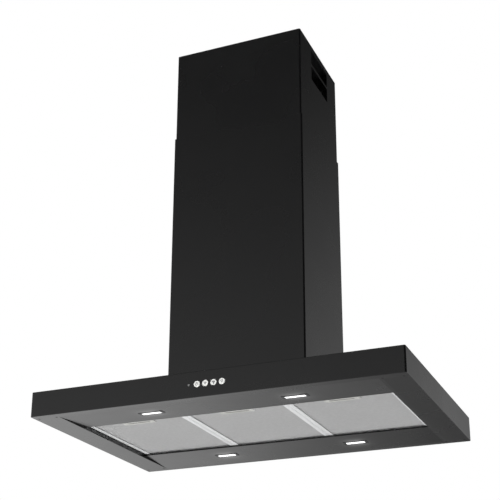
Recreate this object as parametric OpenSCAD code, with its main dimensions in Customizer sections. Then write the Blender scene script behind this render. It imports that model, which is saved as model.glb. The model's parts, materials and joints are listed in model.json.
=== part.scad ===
// Island range hood with a telescopic chimney, three grease filters and a
// ducted centrifugal blower. Millimetres, +Z up. The origin is the centre of
// the ceiling bracket's bolt pattern, on the ceiling plane.

/* [Canopy] */
// Width of the canopy, left to right
canopy_w = 898; // [850:1:1000]
// Depth of the canopy, front to back
canopy_d = 598; // [580:1:700]
// Height of the canopy's edge
canopy_h = 60; // [56:1:80]
// Height from the canopy's underside to the ceiling
drop = 1005; // [950:1:1100]
// Thickness of the canopy's sheet steel
sheet = 1.2; // [0.8:0.1:1.5]
// Outside radius of the folds
bend_r = 4; // [3:0.5:8]

/* [Chimney] */
// Width of the lower cover
lower_w = 350; // [346:1:380]
// Depth of the lower cover
lower_d = 286; // [284:1:320]
// Height of the lower cover's top edge above the canopy's underside
seam_level = 755; // [720:1:780]
// Thickness of the covers' sheet
cover_sheet = 1; // [0.8:0.1:1.2]
// Gap between the two covers on the left and right
cover_gap_w = 1.5; // [1:0.1:2]
// Gap between the two covers at the front and back
cover_gap_d = 1; // [0.8:0.1:1.5]
// How far the hood can be lowered from its set height
lower_travel = 200; // [150:1:220]
// Overlap left between the covers when the hood is lowest
min_overlap = 50; // [30:1:80]

/* [Vents] */
// Width of a vent slot
vent_w = 124; // [80:1:150]
// Height of a vent slot
vent_h = 40; // [20:1:44]
// Bar between the two slots
vent_bar = 7; // [5:1:12]
// Sheet left above the upper slot
vent_top = 15; // [14:1:20]
// Distance of the slots' centre behind the cover's centre
vent_offset = 5; // [0:1:10]

/* [Telescopic frame] */
// Gap between the upper cover and the upper frame
frame_inset = 9.5; // [8:0.5:12]
// Leg of the angle posts
angle_leg = 25; // [20:1:28]
// Thickness of the angle posts
angle_t = 2; // [1.5:0.1:2.5]
// Length of the upper frame below the ceiling bracket's plate
upper_frame_len = 517; // [500:1:540]
// Height of the straps round the frames
strap_h = 20; // [14:1:24]
// Thickness of the straps
strap_t = 1.5; // [1:0.1:2]
// Sliding gap between the two frames' posts
slide_gap = 0.3; // [0.2:0.05:0.5]
// Diameter of the lock bolts
lock_bolt_d = 5; // [4:1:6]

/* [Ceiling bracket] */
// Thickness of the bracket's plate
bracket_t = 3; // [2:0.5:4]
// Spacing of the ceiling holes, left to right
ceiling_pitch_x = 210; // [200:1:260]
// Spacing of the ceiling holes, front to back
ceiling_pitch_y = 200; // [190:1:220]
// Diameter of the ceiling holes
ceiling_hole_d = 8; // [6:0.5:9]
// Width and depth of the hole for the duct
duct_hole = 170; // [160:1:180]
// Width of the slot for the mains cable
cable_slot = 24; // [16:1:26]

/* [Underside] */
// Width of the flat flange along each side
side_flange = 65; // [60:1:70]
// Width of the flat return along the front and back
end_return = 20; // [16:1:24]
// Rise of the light panels towards the filters
panel_rise = 6; // [3:0.5:7]
// Depth of the filter opening, front to back
opening_d = 304; // [290:1:320]
// Gap between a light panel's end and the side flange
panel_end_gap = 0.6; // [0.4:0.1:3]

/* [Filters] */
// Number of filters
filter_count = 3; // [2:1:4]
// Level of the filters' underside
filter_level = 10.5; // [9:0.5:13]
// Thickness of a filter
filter_t = 10; // [8:0.5:12]
// Width of a filter's rim
filter_rim = 11; // [7:0.5:14]
// Depth of the mesh's face above the rim
mesh_recess = 1.5; // [1.5:0.5:4]
// Gap between a filter and the front wall
filter_gap = 1.5; // [1:0.1:2]
// Gap between the outer filters and the side flanges
filter_side_gap = 1.5; // [0.3:0.1:3]
// How far a filter lies on the rear ledge
ledge_reach = 13; // [10:1:15]
// Width of the latch plate
latch_w = 82; // [70:1:110]
// Depth of the latch plate
latch_d = 32; // [28:1:36]
// Travel of the latch
latch_travel = 6; // [4:0.5:7]

/* [Lamps] */
// Length of a lamp's bezel
lamp_w = 62; // [50:1:80]
// Depth of a lamp's bezel
lamp_d = 22; // [20:1:30]
// Length of a lamp's lens
lens_w = 48; // [40:1:50]
// Depth of a lamp's lens
lens_d = 14; // [10:1:15]
// Radius of the bezel's corners
bezel_r = 3; // [1:0.5:6]
// Distance of the lamps from the middle
lamp_x = 176; // [150:1:220]
// Height of a lamp's heat sink
sink_h = 12; // [8:1:14]
// Height of the heat sink's fins
fin_h = 7; // [3:0.5:8]
// Thickness of the fins and of the gaps between them
fin_t = 3; // [2:0.5:4]
// Length of the lamp driver
driver_w = 110; // [90:1:130]
// Depth of the lamp driver
driver_d = 38; // [30:1:44]
// Height of the lamp driver
driver_h = 22; // [16:1:26]

/* [Controls] */
// Diameter of a push button
button_d = 14; // [12:0.5:16]
// Distance between buttons
button_pitch = 20; // [19:0.5:24]
// Height of the buttons above the canopy's underside
button_level = 30; // [28:1:36]
// Shift of the row of buttons to the right
controls_shift = -3; // [-10:1:10]
// Diameter of the indicator light
indicator_d = 5; // [4:0.5:6]
// Travel of a push button
button_travel = 1.2; // [0.8:0.1:1.5]
// Depth of the dish in a push button's cap
button_dish = 0.5; // [0.2:0.1:0.7]

/* [Blower] */
// Height of the plenum box
plenum_h = 255; // [250:1:280]
// Radius of the impeller
impeller_r = 70; // [64:1:72]
// Width of the impeller
impeller_w = 120; // [100:1:130]
// Number of impeller blades
blade_count = 36; // [24:1:44]
// Gap between the impeller and the scroll at the cut-off
cutoff_gap = 7; // [6:0.5:8]
// Growth of the scroll's radius round its turn
scroll_growth = 32; // [26:1:34]
// Wall of the scroll
scroll_wall = 2; // [1.5:0.1:2.5]
// Outside radius of the duct collar
collar_r = 74.7; // [70:0.1:76]
// Height of the duct collar
collar_h = 50; // [40:1:60]
// Radius of the motor
motor_r = 42; // [36:1:46]
// Radius of the motor's shaft
shaft_r = 4; // [3:0.5:5]
// Radius of the cable gland's bore
gland_r = 4.5; // [3:0.5:6]
// Radius of the run capacitor
capacitor_r = 15; // [12:0.5:17]
// Length of the run capacitor
capacitor_l = 70; // [50:1:90]

/* [Hidden] */
$fn = 64;

paint = [0.09, 0.09, 0.095];
zinc = [0.72, 0.74, 0.76];
alloy = [0.80, 0.81, 0.82];
white = [0.96, 0.96, 0.94];
dark_plastic = [0.12, 0.12, 0.13];
grey_plastic = [0.45, 0.47, 0.49];

eps = 0.05;          // overrun of a cut past the face it leaves
near = 0.3;          // gap between pieces that move past each other

// Covers and frames
upper_w = lower_w - 2 * cover_sheet - 2 * cover_gap_w;
upper_d = lower_d - 2 * cover_sheet - 2 * cover_gap_d;
vents_bottom = vent_top + 2 * vent_h + vent_bar;
raise_travel = drop - seam_level - vents_bottom - 3;
upper_len = drop - seam_level + lower_travel + min_overlap;
cover_in_w = upper_w - 2 * cover_sheet;
cover_in_d = upper_d - 2 * cover_sheet;
post_x = cover_in_w / 2 - frame_inset;
post_y = cover_in_d / 2 - frame_inset;
low_post_x = post_x - angle_t - slide_gap;
low_post_y = post_y - angle_t - slide_gap;
lock_level = bracket_t + upper_frame_len - 40;      // below the ceiling
slot_top = drop - lock_level + lower_travel + lock_bolt_d;
slot_bottom = drop - lock_level - raise_travel - lock_bolt_d;
low_frame_top = slot_top + strap_h + 8;
foot = 34;
foot_t = 2;
lip_h = 12;
tab_w = 20;
tab_h = 30;

// Underside
opening_w = canopy_w - 2 * side_flange;
under_d = canopy_d - 2 * end_return;
side_lip_h = 28;
return_lip_h = 12;
panel_w = opening_w - 2 * panel_end_gap;
panel_run = (under_d - opening_d) / 2;
panel_angle = atan(panel_rise / panel_run);
wall_top = filter_level + filter_t + 4;
wall_flange = 12;
ledge_level = filter_level - near;
ledge_wall = ledge_reach + 3;

// Filters
filter_pitch = (opening_w - 2 * filter_side_gap) / filter_count;
filter_w = filter_pitch - 2 * near;
filter_front = -opening_d / 2 + filter_gap;
filter_back = opening_d / 2 + ledge_reach;
filter_d = filter_back - filter_front;
skin = 1;            // sheet of the filter's frame
mesh_t = 1;
latch_t = 2;
latch_seat = skin + near;
tongue_w = 28;
keeper_gap = 0.4;

// Lamps
lamp_y = (opening_d / 2 + under_d / 2) / 2;
bezel_t = 1;
lamp_cut_w = lamp_w - 6;
lamp_cut_d = lamp_d - 4;
lens_r = 2;

// Controls
front_face = -canopy_d / 2;
front_inside = front_face + sheet;
button_names = ["power_button", "low_speed_button", "high_speed_button", "light_button"];
button_proud = 1;
button_flange = 1;
dish_r = button_d / 2 - 1.2;
dish_ball_r = (pow(dish_r, 2) + pow(button_dish, 2)) / (2 * button_dish);
stem_r = 4;
holder_d = 9;
holder_h = 26;
holder_end = 14;
board_post = 4;
board_t = 1.6;

// Blower, about an axis along X
plenum_sheet = 1;
plenum_w = 2 * (low_post_x - angle_t - foot - 3.7);
plenum_d = 2 * (low_post_y - 6.2);
plenum_lip = 10;
plenum_top = canopy_h + plenum_h;
scroll_rim = 6;
scroll_w = impeller_w + 10 + 2 * scroll_wall;
cutoff_angle = 60;
axis_y = -plenum_d / 2 + plenum_sheet + 1.5 + scroll_rim + scroll_wall + scroll_radius(180);
axis_h = canopy_h + 4 + scroll_rim + scroll_wall + scroll_radius(270);
outlet_in = scroll_radius(cutoff_angle) * cos(cutoff_angle);
outlet_out = scroll_radius(360);
outlet_top = plenum_top - plenum_sheet - axis_h;
scroll_reach = outlet_out + scroll_wall + scroll_rim + 1;
inlet_r = impeller_r - 10;
inlet_lip = 4;
hub_r = 12;
hub_back = 5;
hub_front = 12;
shaft_end = 4;
disc_t = 3;
disc_hole_r = 8;
ring_t = 2;
blade_in = impeller_r - 13;
motor_back = -scroll_w / 2 - inlet_lip;
motor_front = -12;
spider_t = 2.5;
spider_r = inlet_r + 14;
shaft_gap = 0.06;
collar_rim = 10;
collar_flange = 2 * (collar_r + collar_rim);
collar_t = 1.5;
collar_y = plenum_d / 2 - collar_flange / 2 - 2;
flap_level = plenum_top + collar_t + 14;
flap_r = collar_r - collar_t - 3;
flap_t = 1.2;
flap_seat = flap_level - plenum_top - flap_t / 2 - near;
pin_r = 2;
knuckle_r = 4;
knuckle_len = 26;

// Electronics
ebox_t = 36;
ebox_l = 170;
ebox_h = 150;
ebox_foot = 30;
ebox_level = canopy_h + ebox_foot;
ebox_wall = 2;
gland_x = -plenum_w / 2 - ebox_t / 2;
gland_y = -30;
gland_len = 24;

function scroll_radius(a) =
    impeller_r + cutoff_gap + scroll_growth * (a - cutoff_angle) / (360 - cutoff_angle);
function filter_x(i) = (i - (filter_count - 1) / 2) * filter_pitch;
function button_x(i) = controls_shift + (i - 1) * button_pitch;

// A sheet profile: the line of its outer face, and the same line set in by t
function unit(v) = v / norm(v);
function left_of(v) = [-v[1], v[0]];
function mitre(p, i, t) =
    let (a = i > 0 ? unit(p[i] - p[i - 1]) : unit(p[1] - p[0]),
         b = i < len(p) - 1 ? unit(p[i + 1] - p[i]) : a,
         n = left_of(a), m = left_of(b))
    p[i] + t * (n + m) / (1 + n * m);
function folded(p, t) = concat(p, [for (i = [len(p) - 1:-1:0]) mitre(p, i, t)]);

// ---------- shared shapes ----------

module from_base() translate([0, 0, -drop]) children();

module rounded(w, d, r) {
    square([w - 2 * r, d], center = true);
    square([w, d - 2 * r], center = true);
    for (sx = [-1, 1], sy = [-1, 1])
        translate([sx * (w / 2 - r), sy * (d / 2 - r)]) circle(r);
}

module block(w, d, h) translate([-w / 2, -d / 2, 0]) cube([w, d, h]);

module corners() for (sx = [0, 1], sy = [0, 1]) mirror([sx, 0, 0]) mirror([0, sy, 0]) children();

module cover(w, d, h) linear_extrude(h) difference() {
    rounded(w, d, bend_r);
    rounded(w - 2 * cover_sheet, d - 2 * cover_sheet, bend_r - cover_sheet);
}

// One angle post with its outer corner at (x, y)
module post(x, y, h) difference() {
    translate([x - angle_leg, y - angle_leg, 0]) cube([angle_leg, angle_leg, h]);
    translate([x - angle_leg - 1, y - angle_leg - 1, -1])
        cube([angle_leg - angle_t + 1, angle_leg - angle_t + 1, h + 2]);
}

// A hexagon bolt along +X: head outside x = 0, then shank, washer and nut inside
module bolt_x(d, grip) rotate([0, 90, 0]) {
    translate([0, 0, 0]) cylinder(h = 0.7 * d, d = 1.8 * d, $fn = 6);
    translate([0, 0, -grip - 0.9 * d]) cylinder(h = grip + 0.9 * d + 0.1, d = d);
    translate([0, 0, -grip - 0.8 * d]) cylinder(h = 0.8 * d, d = 1.8 * d, $fn = 6);
}

// ---------- ceiling, covers and frames ----------

module ceiling_bracket() color(paint) difference() {
    union() {
        translate([0, 0, -bracket_t]) linear_extrude(bracket_t)
            rounded(cover_in_w, cover_in_d, bend_r - cover_sheet);
        translate([0, 0, -bracket_t - lip_h]) linear_extrude(lip_h + eps) difference() {
            rounded(cover_in_w, cover_in_d, bend_r - cover_sheet);
            square([cover_in_w - 4, cover_in_d - 4], center = true);
        }
        corners() translate([post_x, post_y - angle_leg, -bracket_t - tab_h])
            cube([angle_t, tab_w, tab_h + eps]);
    }
    // the duct's hole over the collar, and the cable's slot into it
    translate([0, collar_y, -bracket_t - 1]) linear_extrude(bracket_t + 2)
        rounded(duct_hole, duct_hole, 12);
    translate([gland_x, gland_y, -bracket_t - 1]) {
        cylinder(h = bracket_t + 2, d = cable_slot);
        translate([0, -cable_slot / 2, 0]) cube([-gland_x, cable_slot, bracket_t + 2]);
    }
    for (sx = [-1, 1], sy = [-1, 1])
        translate([sx * ceiling_pitch_x / 2, sy * ceiling_pitch_y / 2, -bracket_t - 1])
            cylinder(h = bracket_t + 2, d = ceiling_hole_d);
    bracket_bolt_places() rotate([0, -90, 0]) cylinder(h = 30, d = lock_bolt_d + 0.2, center = true);
    cover_screw_places() rotate([90, 0, 0]) cylinder(h = 12, d = 3.4, center = true);
}

module bracket_bolt_places()
    corners() translate([post_x + angle_t, post_y - angle_leg + tab_w / 2, -bracket_t - tab_h / 2])
        children();

module bracket_bolts() color(zinc) bracket_bolt_places() bolt_x(lock_bolt_d, 2 * angle_t);

module cover_screw_places()
    for (sx = [-1, 1]) translate([sx * upper_w / 3.5, upper_d / 2, -bracket_t - lip_h / 2]) children();

module upper_cover_screws() color(paint) cover_screw_places() rotate([-90, 0, 0]) {
    cylinder(h = 1.6, r1 = 3.6, r2 = 2.6);
    translate([0, 0, -8]) cylinder(h = 8 + eps, d = 3.2);
}

module lock_places() corners()
    translate([post_x, post_y - angle_leg / 2 - 1, -lock_level]) children();

module upper_frame() color(paint) difference() {
    union() {
        translate([0, 0, -bracket_t - upper_frame_len]) corners() post(post_x, post_y, upper_frame_len);
        translate([0, 0, -bracket_t - upper_frame_len]) linear_extrude(strap_h) difference() {
            square([2 * (post_x + strap_t), 2 * (post_y + strap_t)], center = true);
            square([2 * post_x - eps, 2 * post_y - eps], center = true);
        }
    }
    bracket_bolt_places() rotate([0, -90, 0]) cylinder(h = 30, d = lock_bolt_d + 0.2, center = true);
    lock_places() rotate([0, 90, 0]) cylinder(h = 20, d = lock_bolt_d + 0.2, center = true);
}

// The bolts stay with the upper frame and run in the lower frame's slots
module height_lock_bolts() color(zinc) lock_places() bolt_x(lock_bolt_d, 2 * angle_t + slide_gap + near);

module upper_cover() color(paint) translate([0, 0, -upper_len]) difference() {
    cover(upper_w, upper_d, upper_len);
    for (i = [0, 1]) translate([0, vent_offset, upper_len - vent_top - vent_h - i * (vent_h + vent_bar)])
        block(upper_w + 2, vent_w, vent_h);
    translate([0, 0, upper_len]) cover_screw_places() rotate([90, 0, 0])
        cylinder(h = 12, d = 3.4, center = true);
}

module lower_frame() color(paint) from_base() difference() {
    union() {
        translate([0, 0, canopy_h]) corners() {
            post(low_post_x, low_post_y, low_frame_top - canopy_h);
            translate([low_post_x - angle_t - foot, low_post_y - angle_t - foot, 0])
                cube([foot + eps, foot + eps, foot_t]);
        }
        translate([0, 0, low_frame_top - strap_h]) linear_extrude(strap_h) difference() {
            square([2 * (low_post_x - angle_t) + eps, 2 * (low_post_y - angle_t) + eps], center = true);
            square([2 * (low_post_x - angle_t - strap_t), 2 * (low_post_y - angle_t - strap_t)],
                   center = true);
        }
    }
    corners() translate([low_post_x, post_y - angle_leg / 2 - 1, slot_bottom]) {
        translate([-10, -lock_bolt_d / 2 - near, 0])
            cube([20, lock_bolt_d + 2 * near, slot_top - slot_bottom]);
        for (z = [0, slot_top - slot_bottom]) translate([0, 0, z]) rotate([0, 90, 0])
            cylinder(h = 20, d = lock_bolt_d + 2 * near, center = true);
    }
    foot_places() cylinder(h = 20, d = 6.4, center = true);
}

module foot_places() corners()
    translate([low_post_x - angle_t - foot / 2, low_post_y - angle_t - foot / 2, canopy_h]) children();

module frame_foot_bolts() color(zinc) from_base() foot_places() {
    translate([0, 0, foot_t]) cylinder(h = 4, d = 10, $fn = 6);
    translate([0, 0, -sheet - 2 - 6]) cylinder(h = sheet + 8 + foot_t + eps, d = 6);
    translate([0, 0, -sheet - 2 - 5]) cylinder(h = 5, d = 10, $fn = 6);
}

module lower_cover() color(paint) from_base()
    translate([0, 0, canopy_h + near]) cover(lower_w, lower_d, seam_level - canopy_h - near);

// ---------- canopy ----------

module throat(h) linear_extrude(h)
    square([plenum_w - 2 * plenum_lip, plenum_d - 2 * plenum_lip], center = true);

module canopy_shell() color(paint) from_base() difference() {
    union() {
        difference() {
            linear_extrude(canopy_h) rounded(canopy_w, canopy_d, bend_r);
            translate([0, 0, sheet]) linear_extrude(canopy_h - 2 * sheet)
                rounded(canopy_w - 2 * sheet, canopy_d - 2 * sheet, bend_r - sheet);
        }
        for (s = [0, 1]) mirror([s, 0, 0]) translate([opening_w / 2, -under_d / 2 - sheet, 0])
            cube([sheet, under_d + 2 * sheet, side_lip_h]);
        for (s = [0, 1]) mirror([0, s, 0]) translate([-opening_w / 2, under_d / 2, 0])
            cube([opening_w, sheet, return_lip_h]);
    }
    translate([0, 0, -1]) block(opening_w, under_d, sheet + 1 + eps);
    translate([0, 0, canopy_h - sheet - 1]) throat(sheet + 2);
    foot_places() cylinder(h = 20, d = 6.4, center = true);
    for (i = [0:3]) button_axis(button_x(i)) cylinder(h = 10, d = button_d + 2 * near, center = true);
    button_axis(button_x(-1)) cylinder(h = 10, d = indicator_d + near, center = true);
    flange_screw_places() translate([0, 0, -eps]) cylinder(h = 8, d = 3.2);
    flange_screw_places() translate([0, 0, -eps]) cylinder(h = 0.9, d = 6.2);
}

module mounting_plate() color(zinc) from_base() difference() {
    translate([0, 0, canopy_h - sheet - 2]) block(2 * low_post_x + 10, 2 * low_post_y + 10, 2);
    translate([0, 0, canopy_h - sheet - 3]) throat(4);
    foot_places() cylinder(h = 20, d = 6.4, center = true);
}

module flange_screw_places() for (sx = [-1, 1], sy = [-1, 1], dx = [7.5, 54])
    translate([sx * (opening_w / 2 + dx), sy * (under_d / 2 - 2), 0]) children();

module flange_screws() color(dark_plastic) from_base() flange_screw_places() {
    translate([0, 0, 0.1]) cylinder(h = 0.75, r = 3);
    translate([0, 0, 0.1]) cylinder(h = 6, r = 1.5);
}

// Profile of the front light panel, in depth from the middle and height
front_fold = [
    [under_d / 2, return_lip_h], [under_d / 2, 0], [opening_d / 2, panel_rise],
    [opening_d / 2, wall_top], [opening_d / 2 + wall_flange, wall_top]
];
// The rear one has a ledge that the filters lie on
rear_fold = [
    [under_d / 2, return_lip_h], [under_d / 2, 0], [opening_d / 2, panel_rise],
    [opening_d / 2, ledge_level], [opening_d / 2 + ledge_wall, ledge_level],
    [opening_d / 2 + ledge_wall, wall_top + 4], [opening_d / 2 + ledge_wall + wall_flange, wall_top + 4]
];

module light_panel(fold) difference() {
    rotate([90, 0, 90]) translate([0, 0, -panel_w / 2]) linear_extrude(panel_w)
        polygon(folded(fold, -sheet));
    for (s = [-1, 1]) on_panel(s) translate([0, 0, -5]) block(lamp_cut_w, lamp_cut_d, 12);
}

// Places a lamp on the sloping panel, its own z = 0 on the panel's underside
module on_panel(s) translate([s * lamp_x, lamp_y, panel_rise / 2]) rotate([-panel_angle, 0, 0])
    children();

module front_light_panel() color(paint) from_base() difference() {
    mirror([0, 1, 0]) light_panel(front_fold);
    for (i = [0:filter_count - 1])
        translate([filter_x(i), -opening_d / 2, filter_level + latch_seat - 1])
            block(tongue_w + 6, 6, latch_t + 2);
}

module rear_light_panel() color(paint) from_base() light_panel(rear_fold);

module lamp_housing(s, side) color(dark_plastic) from_base() mirror([0, side, 0]) on_panel(s)
    difference() {
        union() {
            translate([0, 0, -bezel_t]) linear_extrude(bezel_t) rounded(lamp_w, lamp_d, bezel_r);
            block(lamp_cut_w - 0.4, lamp_cut_d - 0.4, sink_h);
        }
        translate([0, 0, -bezel_t - 1]) linear_extrude(sink_h - fin_h) rounded(lens_w, lens_d, lens_r);
        for (x = [fin_t:2 * fin_t:lamp_cut_w / 2 - fin_t], s = [-1, 1])
            translate([s * x, 0, sink_h - fin_h]) block(fin_t, lamp_d, fin_h + 1);
    }

module lamp_lens(s, side) color(white) from_base() mirror([0, side, 0]) on_panel(s)
    translate([0, 0, -bezel_t + 0.3]) linear_extrude(2) rounded(lens_w, lens_d, lens_r);

module lamp_driver() color(white) from_base()
    translate([lamp_x, -lamp_y, canopy_h - sheet - driver_h]) difference() {
        block(driver_w, driver_d, driver_h);
        for (s = [-1, 1]) translate([s * (driver_w / 2 - 5), 0, -1]) cylinder(h = driver_h + 2, d = 4);
    }

// ---------- filters ----------

module in_filter(i) from_base() translate([filter_x(i), filter_front, filter_level]) children();

// Folded rim, open inwards, with a latch plate and its pocket at the front
module filter_frame(i) color(alloy) in_filter(i) difference() {
    union() {
        translate([-filter_w / 2, 0, 0]) difference() {
            cube([filter_w, filter_d, filter_t]);
            translate([skin, skin, skin])
                cube([filter_w - 2 * skin, filter_d - 2 * skin, filter_t - 2 * skin]);
            translate([filter_rim, filter_rim, -1])
                cube([filter_w - 2 * filter_rim, filter_d - 2 * filter_rim, filter_t + 2]);
        }
        translate([-latch_w / 2, 0, 0]) cube([latch_w, latch_d, skin]);
        translate([-latch_w / 2, 0, 0]) difference() {
            cube([latch_w, latch_d, filter_t]);
            translate([skin, skin, -1])
                cube([latch_w - 2 * skin, latch_d - 2 * skin, filter_t - skin + 1]);
        }
    }
    translate([-latch_w / 2 + 12, latch_d - 24, -1]) cube([latch_w - 24, 17, skin + 1.2]);
    translate([-tongue_w / 2 - 1, -1, skin]) cube([tongue_w + 2, skin + 2, latch_t + 2 * near]);
}

// The lower and upper mesh sheets, held in the rim's channel
module filter_mesh(i) color(alloy) in_filter(i) for (z = [mesh_recess, filter_t - skin - mesh_t])
    difference() {
        translate([-filter_w / 2 + skin, skin, z])
            cube([filter_w - 2 * skin, filter_d - 2 * skin, mesh_t]);
        translate([-latch_w / 2, 0, 0]) cube([latch_w, latch_d, filter_t]);
    }

// Sprung slide with a finger bar in the latch plate's window
module filter_latch(i) color(alloy) in_filter(i) {
    translate([-latch_w / 2 + 7, skin + near + 1, latch_seat])
        cube([latch_w - 14, latch_d - 2 * skin - 2 - latch_travel, latch_t]);
    translate([-latch_w / 2 + 16, latch_d - 22, 0]) cube([latch_w - 32, 4, latch_seat + eps]);
    translate([-tongue_w / 2, -filter_gap + keeper_gap, latch_seat])
        cube([tongue_w, filter_gap - keeper_gap + skin + near + 2, latch_t]);
}

// ---------- controls ----------

module button_axis(x) translate([x, front_face, button_level]) rotate([-90, 0, 0]) children();

// A dished cap, a flange that stops it behind the front sheet, and a stem
module push_button(i) color(white) from_base() button_axis(button_x(i)) {
    difference() {
        translate([0, 0, -button_proud]) cylinder(h = button_proud + sheet + near + eps, d = button_d);
        translate([0, 0, -button_proud + button_dish - dish_ball_r]) sphere(dish_ball_r);
    }
    translate([0, 0, sheet + near]) cylinder(h = button_flange, d = button_d + 2);
    translate([0, 0, sheet + near]) cylinder(h = holder_d, r = stem_r);
}

module indicator_light() color(white) from_base() button_axis(button_x(-1)) {
    translate([0, 0, -0.3]) cylinder(h = sheet + 1, d = indicator_d);
    cylinder(h = sheet + holder_d, d = indicator_d - 1);
}

module button_holder() color(dark_plastic) from_base() difference() {
    union() {
        translate([button_x(-1) - holder_end, front_inside, button_level - holder_h / 2])
            cube([4 * button_pitch + 2 * holder_end, holder_d, holder_h]);
        for (x = [button_x(-1) - holder_end + 3, button_x(3) + holder_end - 3], z = [-1, 1])
            translate([x, front_inside + holder_d - eps, button_level + z * (holder_h / 2 - 3)])
                rotate([-90, 0, 0]) cylinder(h = board_post + eps, r = 2.5);
    }
    for (i = [0:3]) button_axis(button_x(i)) {
        translate([0, 0, -1]) cylinder(h = sheet + 1 + button_flange + button_travel + 2 * near,
                                       d = button_d + 2 + 2 * near);
        cylinder(h = 40, r = stem_r + near);
    }
    button_axis(button_x(-1)) cylinder(h = 40, d = indicator_d + 2 * near);
}

module control_board() color([0.10, 0.35, 0.18]) from_base() {
    translate([button_x(-1) - holder_end, front_inside + holder_d + board_post,
               button_level - holder_h / 2])
        cube([4 * button_pitch + 2 * holder_end, board_t, holder_h]);
    // a switch behind each button
    for (i = [0:3]) button_axis(button_x(i))
        translate([0, 0, sheet + holder_d + button_travel + 2 * near])
            cylinder(h = board_post - button_travel - 2 * near + eps, r = 3);
}

// ---------- blower ----------

module blower_axis() from_base() translate([0, axis_y, axis_h]) children();

// Local x is +Y, local y is up, and the extrusion runs along +X
module across(x0, x1) rotate([90, 0, 90]) translate([0, 0, x0]) linear_extrude(x1 - x0) children();

// The scroll's outline, grown outwards; it starts at the tongue beside the outlet
module spiral(out) polygon(concat(
    [[outlet_in - out, sqrt(pow(scroll_radius(cutoff_angle) + out, 2) - pow(outlet_in - out, 2))]],
    [for (a = [cutoff_angle + 15:7.5:360]) (scroll_radius(a) + out) * [cos(a), sin(a)]],
    [[outlet_out + out, outlet_top], [outlet_in - out, outlet_top]]));

module plenum_box() color(zinc) from_base() translate([0, 0, canopy_h]) difference() {
    block(plenum_w, plenum_d, plenum_h);
    translate([0, 0, plenum_sheet])
        block(plenum_w - 2 * plenum_sheet, plenum_d - 2 * plenum_sheet, plenum_h - 2 * plenum_sheet);
    translate([0, 0, -1]) throat(plenum_sheet + 2);
    translate([-scroll_w / 2 + scroll_wall, axis_y + outlet_in, plenum_h - plenum_sheet - 1])
        cube([scroll_w - 2 * scroll_wall, outlet_out - outlet_in, plenum_sheet + 2]);
}

// Half of the scroll, from its side plate to the joint at the middle
module scroll_half(dir) color(grey_plastic) blower_axis() mirror([dir, 0, 0]) difference() {
    union() {
        difference() {
            across(-scroll_w / 2, -eps) spiral(scroll_wall);
            across(-scroll_w / 2 + scroll_wall, 1) spiral(0);
            across(-scroll_w / 2 + scroll_wall, 1) translate([outlet_in, outlet_top - 8])
                square([outlet_out - outlet_in, 20]);
        }
        across(-3, -eps) difference() {
            intersection() {
                spiral(scroll_wall + scroll_rim);
                translate([-scroll_reach, -scroll_reach])
                    square([2 * scroll_reach, scroll_reach + outlet_top - 2]);
            }
            spiral(0);
        }
        // rolled lip of the inlet
        translate([-scroll_w / 2, 0, 0]) rotate([0, -90, 0])
            rotate_extrude() translate([inlet_r + inlet_lip, 0]) difference() {
                circle(inlet_lip);
                translate([-inlet_lip - 1, -2 * inlet_lip]) square([4 * inlet_lip, 2 * inlet_lip]);
            }
        spider_places() translate([-scroll_w / 2 - inlet_lip, 0, 0]) rotate([0, 90, 0])
            cylinder(h = inlet_lip + 1, r = 5);
    }
    translate([-scroll_w / 2 - 20, 0, 0]) rotate([0, 90, 0]) cylinder(h = 40, r = inlet_r);
    scroll_screw_places() rotate([0, 90, 0]) cylinder(h = 30, d = 3.4, center = true);
}

module spider_places() for (a = [30, 150, 270]) rotate([a, 0, 0]) translate([0, spider_r, 0]) children();

module scroll_screw_places() for (a = [80, 140, 200, 260, 320])
    rotate([a, 0, 0]) translate([0, scroll_radius(a) + scroll_wall + scroll_rim / 2, 0]) children();

module scroll_screws() color(zinc) blower_axis() scroll_screw_places() rotate([0, 90, 0]) {
    translate([0, 0, -6]) cylinder(h = 12, d = 3);
    translate([0, 0, 3]) cylinder(h = 2, d = 5.4);
    translate([0, 0, -5.4]) cylinder(h = 2.4, d = 5.4, $fn = 6);
}

// Forward-curved blade: inner and outer faces on two arcs, from the inner to the outer radius
blade_sweep = 16;
blade_t = 1.2;
function blade_point(f, off) =
    let (r = blade_in + f * (impeller_r - 1 - blade_in), a = blade_sweep * f * f)
    r * [cos(a), sin(a)] + off * [-sin(a), cos(a)];
module blade() polygon(concat(
    [for (f = [0:0.25:1]) blade_point(f, 0)], [for (f = [1:-0.25:0]) blade_point(f, blade_t)]));

// The impeller's disc and hub; a ring of blades is crimped to each side of it
module impeller() color(dark_plastic) blower_axis() difference() {
    union() {
        across(-disc_t / 2, disc_t / 2) circle(impeller_r);
        across(-disc_t / 2 - hub_back, disc_t / 2 + hub_front) circle(hub_r);
    }
    across(-impeller_w, impeller_w) circle(shaft_r + shaft_gap);
    for (a = [0:60:300]) rotate([a, 0, 0]) translate([-disc_t, (hub_r + blade_in) / 2, 0])
        rotate([0, 90, 0]) cylinder(h = 2 * disc_t, r = disc_hole_r);
}

module impeller_blades(dir) color(dark_plastic) blower_axis() mirror([dir, 0, 0]) {
    for (i = [0:blade_count - 1]) rotate([i * 360 / blade_count, 0, 0])
        across(disc_t / 2, impeller_w / 2) blade();
    for (x = [disc_t / 2, impeller_w / 2 - ring_t]) across(x, x + ring_t) difference() {
        circle(impeller_r);
        circle(blade_in - 0.5);
    }
}

module motor_shaft() color(zinc) blower_axis()
    across(motor_back + 12, disc_t / 2 + hub_front + shaft_end) circle(shaft_r);

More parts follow.
